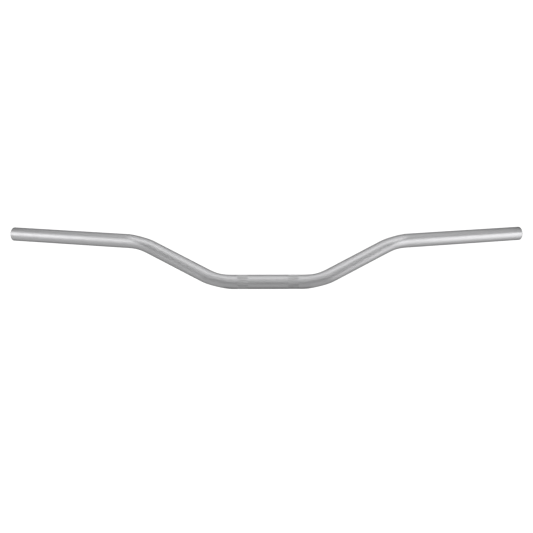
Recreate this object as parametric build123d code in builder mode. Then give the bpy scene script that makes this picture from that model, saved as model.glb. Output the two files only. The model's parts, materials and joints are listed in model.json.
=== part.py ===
"""A motorcycle handlebar: one bent aluminium tube, knurled where its clamps grip it.

The origin is the middle of the clamp section's axis. +X runs along the bar, +Y goes back
towards the rider and +Z up. Lengths are in millimetres and angles in degrees.
"""

import os
from math import radians, tan

from build123d import *

# Tube stock: the standard 7/8 inch handlebar size
tube_radius = 11.1
wall_thickness = 4.0
bore_radius = tube_radius - wall_thickness

# The axis on the +X side, as the sharp corners that its straight runs would meet at
lower_corner = (77.6, 0.0, 0.0)
upper_corner = (201.2, 48.0, 55.5)
tip_centre = (420.8, 133.0, 56.2)

# Bend radii at the axis
lower_bend_radius = 90.0
upper_bend_radius = 115.0

# Bending flattens a tube in the plane of the bend and spreads it a little across that plane.
# Each flattening is the share of the radius that is lost halfway round the bend.
lower_bend_flattening = 0.09
upper_bend_flattening = 0.055
spread_per_flattening = 0.25

# Position along a bend, and the share of the flattening that has built up there
flattening_along_bend = ((0.0, 0.0), (0.25, 0.5), (0.5, 1.0), (0.75, 0.5), (1.0, 0.0))

# Clamp knurl: two bands of straight V grooves, cut so that their lands stay at tube size
knurl_start = 31.0
knurl_width = 16.0
groove_count = 48
groove_depth = 0.5
groove_half_angle = 45.0

# Ends: the outer rim is rounded and the mouth of the bore is chamfered
rim_radius = 1.0
mouth_chamfer = 0.5

# The axis of the whole bar, from the -X end to the +X end
half_corners = [lower_corner, upper_corner, tip_centre]
mirrored_corners = [(-x, y, z) for x, y, z in reversed(half_corners)]
with BuildLine() as bar_axis:
    FilletPolyline(
        *mirrored_corners,
        *half_corners,
        radius=(upper_bend_radius, lower_bend_radius, lower_bend_radius, upper_bend_radius),
    )
straight_runs = bar_axis.edges().filter_by(GeomType.LINE).sort_by(Axis.X)
bends = bar_axis.edges().filter_by(GeomType.CIRCLE).sort_by(Axis.X)
flattenings = (
    upper_bend_flattening,
    lower_bend_flattening,
    lower_bend_flattening,
    upper_bend_flattening,
)

# The groove cutter stands a little out of the tube, so that it opens the groove cleanly
cutter_overshoot = 0.3
cutter_height = groove_depth + cutter_overshoot
cutter_half_width = cutter_height * tan(radians(groove_half_angle))

with BuildPart() as handlebar_tube:
    # The outside first, then the bore with the same course
    for radius, mode in ((tube_radius, Mode.ADD), (bore_radius, Mode.SUBTRACT)):
        for run in straight_runs:
            with BuildSketch(Plane(run @ 0, z_dir=run % 0)):
                Circle(radius)
            extrude(amount=run.length, mode=mode)

        for bend, flattening in zip(bends, flattenings):
            for position, share in flattening_along_bend:
                across_bend = radius * (1 + spread_per_flattening * flattening * share)
                in_bend_plane = radius * (1 - flattening * share)
                with BuildSketch(
                    Plane(bend @ position, x_dir=bend.normal(), z_dir=bend % position)
                ):
                    Ellipse(across_bend, in_bend_plane)
            sweep(path=bend, multisection=True, mode=mode)

    # Both knurled bands, one on each side of the middle
    for side in (1, -1):
        with BuildSketch(Plane.YZ.offset(side * knurl_start)):
            with PolarLocations(tube_radius - groove_depth, groove_count):
                Polygon(
                    (0, 0),
                    (cutter_height, -cutter_half_width),
                    (cutter_height, cutter_half_width),
                    align=None,
                )
        extrude(amount=side * knurl_width, mode=Mode.SUBTRACT)

    # Both ends
    end_faces = handlebar_tube.faces().filter_by(GeomType.PLANE).sort_by(Axis.X)
    for end_face in (end_faces[0], end_faces[-1]):
        mouth_edge, rim_edge = end_face.edges().sort_by(SortBy.LENGTH)
        fillet(rim_edge, radius=rim_radius)
        chamfer(mouth_edge, length=mouth_chamfer)

handlebar_tube.part.label = "handlebar_tube"

os.makedirs("parts", exist_ok=True)
export_step(handlebar_tube.part, "parts/handlebar_tube.step")
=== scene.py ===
"""Looks of the handlebar: a finely meshed, knurled aluminium tube in a plain white studio.

Metres, in the same frame as the CAD: +X along the bar, +Y back towards the rider, +Z up.
"""

import json
from math import asin, ceil, cos, hypot, pi, radians, sin, sqrt, tan

import bmesh
import bpy
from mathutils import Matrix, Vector


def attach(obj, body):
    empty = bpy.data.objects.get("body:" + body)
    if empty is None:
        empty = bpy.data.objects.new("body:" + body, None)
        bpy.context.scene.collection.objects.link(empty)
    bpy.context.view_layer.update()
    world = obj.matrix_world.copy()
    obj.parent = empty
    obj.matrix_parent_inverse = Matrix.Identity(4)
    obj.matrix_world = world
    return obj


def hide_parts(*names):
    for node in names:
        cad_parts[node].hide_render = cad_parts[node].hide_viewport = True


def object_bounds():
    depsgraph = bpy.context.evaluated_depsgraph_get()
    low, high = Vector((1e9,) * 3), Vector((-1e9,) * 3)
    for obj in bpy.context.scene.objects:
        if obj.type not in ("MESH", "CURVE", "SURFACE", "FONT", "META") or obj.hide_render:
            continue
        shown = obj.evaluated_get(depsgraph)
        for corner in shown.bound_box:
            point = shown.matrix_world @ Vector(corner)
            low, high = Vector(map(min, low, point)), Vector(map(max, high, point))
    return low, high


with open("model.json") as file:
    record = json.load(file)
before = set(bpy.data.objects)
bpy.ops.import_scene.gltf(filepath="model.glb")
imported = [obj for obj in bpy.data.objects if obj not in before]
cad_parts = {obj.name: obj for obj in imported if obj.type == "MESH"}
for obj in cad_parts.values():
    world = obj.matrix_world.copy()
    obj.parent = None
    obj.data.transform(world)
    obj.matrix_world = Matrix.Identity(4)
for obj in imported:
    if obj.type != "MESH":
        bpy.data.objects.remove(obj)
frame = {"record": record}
cad_low, cad_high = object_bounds()

# ------------------------------------------------------------------ sizes and places

MM = 0.001
MOUNTS = {mount["name"]: mount for mount in frame["record"]["mounts"]}
TUBE_RADIUS = MOUNTS["grip_left"]["dims"]["r_mm"] * MM
BORE_RADIUS = MOUNTS["bar_end_bore_left"]["dims"]["r_mm"] * MM

# How far bending flattens the tube, and how it spreads across the bend, as in the CAD
LOWER_FLATTENING = 0.09
UPPER_FLATTENING = 0.055
SPREAD_PER_FLATTENING = 0.25

# Knurled clamp bands, of straight V grooves that run out at both ends of the band
KNURL_START = 31.0 * MM
KNURL_END = 47.0 * MM
KNURL_RUNOUT = 0.4 * MM
GROOVE_COUNT = 48
GROOVE_DEPTH = 0.5 * MM

# Ends: rounded outer rim, chamfered mouth of the bore
RIM_RADIUS = 1.0 * MM
RIM_STEPS = 8
MOUTH_CHAMFER = 0.5 * MM
MOUTH_SHARES = (1.0, 0.5, 0.0)

# Fineness of the mesh, and how sharp an edge has to be to stay crisp in shading
BEND_STEP = radians(1.5)
STRAIGHT_STEP = 12.0 * MM
SHARP_ANGLE = radians(30)

# The tube's materials. Roughness is that of the bare surface, and anisotropy draws its
# highlights out round the tube.
TUBE_FINISH, KNURL_FINISH, BORE_PAINTED_SHADE_FINISH = range(3)
FINISHES = (
    # name, colour, roughness, anisotropy, darkness of its tool marks
    ("satin_tube", (0.66, 0.66, 0.67), 0.30, 0.96, 0.02),
    ("satin_knurl", (0.77, 0.77, 0.78), 0.42, 0.80, 0.35),
    # The bore's colour is darker than the tube's: painted shade inside the bore.
    ("bore_painted_shade", (0.50, 0.50, 0.51), 0.45, 0.50, 0.05),
)

# Marks in the metal: length along the tube and width
GRAIN_SIZE = (8.0 * MM, 0.12 * MM)
TOOL_MARK_SIZE = (200.0 * MM, 3.0 * MM)
CLOUD_SIZE = (25.0 * MM, 12.0 * MM)

# How much the marks change the roughness, and how deep the grain is
GRAIN_ROUGHENING = 0.02
CLOUD_ROUGHENING = 0.01
GRAIN_HEIGHT = 0.01 * MM
GRAIN_STRENGTH = 0.08

# Most of a noise texture's values lie between these
NOISE_LOW = 0.3
NOISE_HIGH = 0.7

# A mix node's colour sockets, which share their names with its other sockets
MIX_COLOUR_A = 6
MIX_COLOUR_B = 7
MIX_COLOUR_RESULT = 2

# Camera: straight in front and a little above, its axis passing above and beside the origin
CAMERA_DISTANCE = 1.5
CAMERA_AZIMUTH = -0.56
CAMERA_ELEVATION = 10.0
CAMERA_ACROSS = -2.3 * MM
CAMERA_RAISED = 23.6 * MM
CAMERA_LENS = 65.66
CAMERA_SENSOR = 36.0

# Studio: a faint glow all round, lit cards on the floor, and softboxes. The backdrop and
# the floor are brighter than white to the camera, so that they show no shade.
BACKDROP_WHITE = 1.1
STUDIO_GLOW = 0.14
FLOOR_DROP = 1.6
FLOOR_HALF_SIZE = 10.0
CARD_LIFT = 0.01
CARD_GLOW = 0.39
FLOOR_CARDS = (
    # name, lowest and highest x, lowest and highest y
    ("card_front", -4.5, 4.5, -4.5, 0.0),
    ("card_left", -4.5, -0.5, 0.0, 0.8),
    ("card_right", 0.5, 4.5, 0.0, 0.8),
)
LAMP_DISTANCE = 3.0
SOFTBOXES = (
    # name, azimuth, elevation, degrees wide, degrees high, brightness
    ("overhead_front", 0, 72, 70, 32, 1.2),
    ("overhead_back", 180, 72, 70, 32, 0.6),
    ("front_top", 0, 44, 70, 24, 0.24),
    ("front", 0, 24, 70, 14, 1.0),
    ("front_fill", 0, 10, 70, 12, 0.36),
    ("side_left", -61, 11, 27, 13, 1.8),
    ("side_left_top", -63, 24, 22, 12, 1.25),
    ("side_left_low", -65.5, -2, 18, 13, 1.75),
    ("side_left_inner", -52, -8, 9, 26, 0.7),
    ("side_right", 61, 4.5, 27, 26, 1.7),
    ("side_right_low", 65.5, -15, 18, 13, 1.0),
    ("side_right_bottom", 61, -27, 27, 11, 0.8),
    ("shoulder_left", -75, 46, 40, 24, 0.23),
    ("shoulder_right", 75, 46, 40, 24, 0.41),
    ("back_left", -120, 8, 40, 44, 0.7),
    ("back", 180, 4, 70, 26, 0.9),
    ("back_right", 120, 8, 40, 44, 0.7),
)

# ------------------------------------------------------------------ the course of the tube


class Station:
    """One place along the axis, with the frame that a ring of the mesh is laid out in."""

    def __init__(self, centre, along, across, up, distance, bend_normal=None, flattening=0.0):
        self.centre = centre
        self.along = along
        self.across = across
        self.up = up
        self.distance = distance
        self.bend_normal = bend_normal
        self.flattening = flattening

    def mirrored(self):
        """The same station on the -X side, still facing +X."""

        def flip(vector):
            return vector and Vector((-vector.x, vector.y, vector.z))

        return Station(
            flip(self.centre),
            -flip(self.along),
            flip(self.across),
            flip(self.up),
            -self.distance,
            flip(self.bend_normal),
            self.flattening,
        )

    def turned_to(self, centre, along, bend_normal=None, flattening=0.0):
        """The next station outward, with its frame carried along without twist."""
        turn = self.along.rotation_difference(along)
        return Station(
            centre,
            along,
            turn @ self.across,
            turn @ self.up,
            self.distance + (centre - self.centre).length,
            bend_normal,
            flattening,
        )

    def point(self, radius, angle):
        """A point of the tube's wall here, on the oval that bending makes of the round tube."""
        outward = self.across * cos(angle) + self.up * sin(angle)
        if self.bend_normal is None:
            return self.centre + outward * radius
        spread = 1 + SPREAD_PER_FLATTENING * self.flattening
        in_plane = self.bend_normal * outward.dot(self.bend_normal)
        oval = outward * spread + in_plane * (1 - self.flattening - spread)
        return self.centre + oval * radius


def run_ends(mount_name):
    """Inner end, outer end and direction of the straight run that a mount on the +X side covers."""
    mount = MOUNTS[mount_name]
    position = Vector(mount["pos_m"])
    along = Vector(mount["axis"]).normalized()
    length = mount["dims"]["length_mm"] * MM
    if mount_name.startswith("grip"):
        return position - along * length, position + along * RIM_RADIUS, along
    return position - along * length / 2, position + along * length / 2, along


def add_straight(stations, end, stops=()):
    """Stations from the last one straight to end, even apart from the given stops."""
    start = stations[-1]
    length = (end - start.centre).length
    count = ceil(length / STRAIGHT_STEP)
    places = {length * step / count for step in range(1, count + 1)}
    for place in sorted(places | set(stops)):
        stations.append(start.turned_to(start.centre + start.along * place, start.along))


def add_bend(stations, along, end, flattening):
    """Stations round the bend from the last one to end, where the axis runs along the given way."""
    start = stations[-1]
    angle = start.along.angle(along)
    radius = (end - start.centre).length / (2 * sin(angle / 2))
    inward = (along - start.along * along.dot(start.along)).normalized()
    bend_centre = start.centre + inward * radius
    count = ceil(angle / BEND_STEP)
    for step in range(1, count + 1):
        turned = angle * step / count
        normal = inward * cos(turned) - start.along * sin(turned)
        tangent = start.along * cos(turned) + inward * sin(turned)
        share = sin(pi * step / count) ** 2
        centre = bend_centre - normal * radius
        stations.append(stations[-1].turned_to(centre, tangent, normal, flattening * share))


def half_course():
    """Stations from the middle of the bar out to its +X end."""
    clamp_end = run_ends("clamp_zone")[1]
    riser_start, riser_end, riser_along = run_ends("riser_left")
    grip_start, grip_end, grip_along = run_ends("grip_left")
    knurl_stops = (
        KNURL_START,
        KNURL_START + KNURL_RUNOUT,
        KNURL_END - KNURL_RUNOUT,
        KNURL_END,
    )
    origin = Vector((0, 0, 0))
    axes = (Vector((1, 0, 0)), Vector((0, 1, 0)), Vector((0, 0, 1)))
    stations = [Station(origin, *axes, distance=0.0)]
    add_straight(stations, clamp_end, knurl_stops)
    add_bend(stations, riser_along, riser_start, LOWER_FLATTENING)
    add_straight(stations, riser_end)
    add_bend(stations, grip_along, grip_start, UPPER_FLATTENING)
    add_straight(stations, grip_end)
    return stations


# ------------------------------------------------------------------ rings round the tube


def points_round():
    """Each point's angle round the tube, and 1 if it is the bottom of a groove, or else 0.

    A groove has two lips and a bottom, and a land between it and the next has a middle. The
    groove's half width follows from its right-angled V and its depth.
    """
    bottom_radius = TUBE_RADIUS - GROOVE_DEPTH
    half_width = (sqrt(2 * TUBE_RADIUS**2 - bottom_radius**2) - bottom_radius) / 2
    lip = asin(half_width / TUBE_RADIUS)
    pitch = 2 * pi / GROOVE_COUNT
    points = []
    for groove in range(GROOVE_COUNT):
        middle = groove * pitch
        points += [(middle - lip, 0), (middle, 1), (middle + lip, 0), (middle + pitch / 2, 0)]
    return points


POINTS_ROUND = points_round()


def ring(station, radius, inset=0.0, grooves=0.0):
    """Points round the tube, each with its place on the straight stock that the bar was bent from.

    inset moves the ring from an end of the bar towards the middle, and grooves is their depth.
    """
    side = 1 if station.distance > 0 else -1
    shift = station.along * inset * -side
    distance = station.distance - inset * side
    points = []
    for angle, at_bottom in POINTS_ROUND:
        depth = grooves * at_bottom
        stock = Vector((distance, (radius - depth) * cos(angle), (radius - depth) * sin(angle)))
        points.append((station.point(radius - depth, angle) + shift, stock))
    return points


def knurl_depth(distance):
    """Depth of the grooves at a distance from the middle of the bar."""
    into_band = min(abs(distance) - KNURL_START, KNURL_END - abs(distance))
    return GROOVE_DEPTH * min(max(into_band / KNURL_RUNOUT, 0.0), 1.0)


def rim_rings(station):
    """Rings of the rounded rim at one end of the bar, from the tube's side to the end face."""
    rings = []
    for step in range(RIM_STEPS + 1):
        turn = pi / 2 * step / RIM_STEPS
        radius = TUBE_RADIUS - RIM_RADIUS * (1 - cos(turn))
        rings.append(ring(station, radius, inset=RIM_RADIUS * (1 - sin(turn))))
    return rings


def mouth_rings(station):
    """Rings of the bore's chamfered mouth, from the end face into the bore."""
    rings = []
    for share in MOUTH_SHARES:
        radius = BORE_RADIUS + MOUTH_CHAMFER * share
        rings.append(ring(station, radius, inset=MOUTH_CHAMFER * (1 - share)))
    return rings


def tube_rings():
    """Rings over the outside from the -X end to the +X end, then back through the bore."""
    half = half_course()
    first, *between, last = [station.mirrored() for station in reversed(half[1:])] + half
    rings = rim_rings(first)[::-1]
    for station in between:
        rings.append(ring(station, TUBE_RADIUS, grooves=knurl_depth(station.distance)))
    rings += rim_rings(last) + mouth_rings(last)
    for station in reversed(between):
        rings.append(ring(station, BORE_RADIUS))
    return rings + mouth_rings(first)[::-1]


# ------------------------------------------------------------------ the mesh


class Skin:
    """A closed surface in the making, whose points know their place on the straight stock."""

    def __init__(self):
        self.mesh = bmesh.new()
        self.stock = self.mesh.verts.layers.float_vector.new("stock")
        self.around = self.mesh.loops.layers.uv.new("around")

    def add_verts(self, points):
        verts = []
        for position, stock in points:
            vert = self.mesh.verts.new(position)
            vert[self.stock] = stock
            verts.append(vert)
        return verts

    def finish_of(self, face):
        """Place in FINISHES of the material that a face is made of."""
        corners = [vert[self.stock] for vert in face.verts]
        middle = sum(corners, Vector()) / len(corners)
        radius = hypot(middle.y, middle.z)
        # Faces in the bore take the bore's material, whose darker colour is painted shade.
        if radius < BORE_RADIUS + MOUTH_CHAMFER / 4:
            return BORE_PAINTED_SHADE_FINISH
        if KNURL_START < abs(middle.x) < KNURL_END and radius > TUBE_RADIUS - GROOVE_DEPTH:
            return KNURL_FINISH
        return TUBE_FINISH

    def add_face(self, corners):
        """A face. Each corner is a point and its share of the way round the tube."""
        face = self.mesh.faces.new([vert for vert, turn in corners])
        face.smooth = True
        face.material_index = self.finish_of(face)
        for loop, (vert, turn) in zip(face.loops, corners):
            loop[self.around].uv = (turn, vert[self.stock].x)

    def add_patch(self, corners):
        """One quad, or two triangles that meet at its one sunken corner, where a groove runs out."""
        radii = [hypot(vert[self.stock].y, vert[self.stock].z) for vert, turn in corners]
        lowest, next_lowest = sorted(radii)[:2]
        if next_lowest - lowest < GROOVE_DEPTH / 2:
            self.add_face(corners)
            return
        sunken = radii.index(lowest)
        first, second, third, fourth = corners[sunken:] + corners[:sunken]
        self.add_face((first, second, third))
        self.add_face((first, third, fourth))

    def join(self, verts, following):
        """Patches all round between one ring and the next."""
        count = len(verts)
        for place in range(count):
            beside = (place + 1) % count
            near = (verts[place], place / count)
            near_beside = (verts[beside], (place + 1) / count)
            far = (following[place], place / count)
            far_beside = (following[beside], (place + 1) / count)
            self.add_patch((near, near_beside, far_beside, far))

    def sharpen(self):
        """Crisp shading where two materials meet and at sharp edges."""
        for edge in self.mesh.edges:
            finishes = {face.material_index for face in edge.link_faces}
            edge.smooth = len(finishes) == 1 and edge.calc_face_angle(0.0) < SHARP_ANGLE


def link_mesh(name, mesh):
    """A new object that takes over a bmesh."""
    data = bpy.data.meshes.new(name)
    mesh.to_mesh(data)
    mesh.free()
    linked = bpy.data.objects.new(name, data)
    bpy.context.scene.collection.objects.link(linked)
    return linked


def build_tube():
    """The whole bar as one closed mesh. Its last ring joins its first across the end face."""
    skin = Skin()
    rings = [skin.add_verts(points) for points in tube_rings()]
    for number, verts in enumerate(rings):
        skin.join(verts, rings[(number + 1) % len(rings)])
    skin.sharpen()
    tube = link_mesh("knurled_tube", skin.mesh)
    for finish in FINISHES:
        tube.data.materials.append(brushed_metal(*finish))
    return tube


# ------------------------------------------------------------------ materials


class Finish:
    """A material in the making."""

    def __init__(self, name):
        self.material = bpy.data.materials.new(name)
        self.material.use_nodes = True
        self.material.node_tree.nodes.clear()

    def add(self, kind, inputs, **settings):
        """A node. Each of its inputs is given a value, or the output that feeds it."""
        tree = self.material.node_tree
        node = tree.nodes.new(kind)
        for setting, value in settings.items():
            setattr(node, setting, value)
        for place, value in inputs.items():
            if isinstance(value, bpy.types.NodeSocket):
                tree.links.new(value, node.inputs[place])
            else:
                node.inputs[place].default_value = value
        return node

    def streaks(self, length, width, detail=2.0):
        """Noise drawn out along the tube, from 0 to 1."""
        stock = self.add("ShaderNodeAttribute", {}, attribute_name="stock")
        drawn = self.add(
            "ShaderNodeMapping",
            {"Vector": stock.outputs["Vector"], "Scale": (1 / length, 1 / width, 1 / width)},
        )
        noise = self.add(
            "ShaderNodeTexNoise",
            {"Vector": drawn.outputs["Vector"], "Scale": 1.0, "Detail": detail},
        )
        return noise.outputs["Fac"]

    def between(self, noise, low, high):
        """A number that runs from low to high over the range where noise mostly lies."""
        node = self.add(
            "ShaderNodeMapRange",
            {
                "Value": noise,
                "From Min": NOISE_LOW,
                "From Max": NOISE_HIGH,
                "To Min": low,
                "To Max": high,
            },
        )
        return node.outputs["Result"]


def brushed_metal(name, colour, roughness, anisotropy, mark_darkness):
    """Satin aluminium whose fine grain and tool marks run along the tube."""
    finish = Finish(name)
    grain = finish.streaks(*GRAIN_SIZE, detail=3.0)
    tool_marks = finish.streaks(*TOOL_MARK_SIZE)
    clouds = finish.streaks(*CLOUD_SIZE)
    darker = [channel * (1 - mark_darkness) for channel in colour]
    tone = finish.add(
        "ShaderNodeMix",
        {
            "Factor": finish.between(tool_marks, 0, 1),
            MIX_COLOUR_A: (*darker, 1),
            MIX_COLOUR_B: (*colour, 1),
        },
        data_type="RGBA",
    )
    grain_roughness = finish.between(
        grain, roughness - GRAIN_ROUGHENING, roughness + GRAIN_ROUGHENING
    )
    cloud_roughness = finish.between(clouds, -CLOUD_ROUGHENING, CLOUD_ROUGHENING)
    rough = finish.add("ShaderNodeMath", {0: grain_roughness, 1: cloud_roughness}, operation="ADD")
    bump = finish.add(
        "ShaderNodeBump",
        {"Height": grain, "Strength": GRAIN_STRENGTH, "Distance": GRAIN_HEIGHT},
    )
    tangent = finish.add("ShaderNodeTangent", {}, direction_type="UV_MAP", uv_map="around")
    metal = finish.add(
        "ShaderNodeBsdfPrincipled",
        {
            "Base Color": tone.outputs[MIX_COLOUR_RESULT],
            "Metallic": 1.0,
            "Roughness": rough.outputs["Value"],
            "Anisotropic": anisotropy,
            "Normal": bump.outputs["Normal"],
            "Tangent": tangent.outputs["Tangent"],
        },
    )
    finish.add("ShaderNodeOutputMaterial", {"Surface": metal.outputs["BSDF"]})
    return finish.material


# ------------------------------------------------------------------ studio


def make_white_to_camera(owner, shader_kind, output_kind):
    """Gives the world or a material plain white to the camera, and a faint glow to all else."""
    owner.use_nodes = True
    tree = owner.node_tree
    tree.nodes.clear()
    path = tree.nodes.new("ShaderNodeLightPath")
    strength = tree.nodes.new("ShaderNodeMix")
    strength.inputs["A"].default_value = STUDIO_GLOW
    strength.inputs["B"].default_value = BACKDROP_WHITE
    shader = tree.nodes.new(shader_kind)
    shader.inputs["Color"].default_value = (1, 1, 1, 1)
    output = tree.nodes.new(output_kind)
    tree.links.new(path.outputs["Is Camera Ray"], strength.inputs["Factor"])
    tree.links.new(strength.outputs["Result"], shader.inputs["Strength"])
    tree.links.new(shader.outputs[0], output.inputs["Surface"])


def direction(azimuth, elevation):
    """Unit vector away from the bar. Azimuth 0 is the camera's side (-Y) and 90 is +X."""
    turn = radians(azimuth)
    rise = radians(elevation)
    return Vector((sin(turn) * cos(rise), -cos(turn) * cos(rise), sin(rise)))


def add_lamp(name, place, facing, width, height, brightness):
    """A soft rectangular lamp that shines one way and stays out of the picture."""
    lamp = bpy.data.lights.new(name, "AREA")
    lamp.shape = "RECTANGLE"
    lamp.size = width
    lamp.size_y = height
    lamp.energy = brightness * width * height * pi
    lamp_object = bpy.data.objects.new(name, lamp)
    lamp_object.location = place
    lamp_object.rotation_mode = "QUATERNION"
    lamp_object.rotation_quaternion = (-facing).to_track_quat("Z", "Y")
    lamp_object.visible_camera = False
    bpy.context.scene.collection.objects.link(lamp_object)


def add_softbox(name, azimuth, elevation, degrees_wide, degrees_high, brightness):
    """A lamp that faces the middle of the bar and fills the given angles as seen from there."""
    width = 2 * LAMP_DISTANCE * tan(radians(degrees_wide / 2))
    height = 2 * LAMP_DISTANCE * tan(radians(degrees_high / 2))
    outward = direction(azimuth, elevation)
    add_lamp(name, outward * LAMP_DISTANCE, -outward, width, height, brightness)


def add_floor():
    """The floor, and the cards that lie on it and light the bar from below."""
    mesh = bmesh.new()
    verts = []
    for x, y in ((-1, -1), (1, -1), (1, 1), (-1, 1)):
        verts.append(mesh.verts.new((x * FLOOR_HALF_SIZE, y * FLOOR_HALF_SIZE, 0.0)))
    mesh.faces.new(verts)
    floor = link_mesh("floor", mesh)
    floor.location.z = cad_low.z - FLOOR_DROP
    white = bpy.data.materials.new("floor_white")
    make_white_to_camera(white, "ShaderNodeEmission", "ShaderNodeOutputMaterial")
    floor.data.materials.append(white)
    for name, low_x, high_x, low_y, high_y in FLOOR_CARDS:
        place = floor.location + Vector(((low_x + high_x) / 2, (low_y + high_y) / 2, CARD_LIFT))
        add_lamp(name, place, Vector((0, 0, 1)), high_x - low_x, high_y - low_y, CARD_GLOW)


def add_studio():
    """World, floor and lamps."""
    world = bpy.data.worlds.new("studio")
    make_white_to_camera(world, "ShaderNodeBackground", "ShaderNodeOutputWorld")
    bpy.context.scene.world = world
    add_floor()
    for softbox in SOFTBOXES:
        add_softbox(*softbox)


def add_camera():
    camera = bpy.data.cameras.new("camera")
    camera.sensor_width = CAMERA_SENSOR
    camera.lens = CAMERA_LENS
    camera_object = bpy.data.objects.new("camera", camera)
    back = direction(CAMERA_AZIMUTH, CAMERA_ELEVATION)
    turn = back.to_track_quat("Z", "Y")
    right = turn @ Vector((1, 0, 0))
    up = turn @ Vector((0, 1, 0))
    camera_object.location = back * CAMERA_DISTANCE + right * CAMERA_ACROSS + up * CAMERA_RAISED
    camera_object.rotation_mode = "QUATERNION"
    camera_object.rotation_quaternion = turn
    bpy.context.scene.collection.objects.link(camera_object)
    bpy.context.scene.camera = camera_object


# ------------------------------------------------------------------ the scene

tube = build_tube()
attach(tube, "root")
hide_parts("handlebar_tube")
add_studio()
add_camera()
bpy.context.scene.view_settings.view_transform = "Standard"
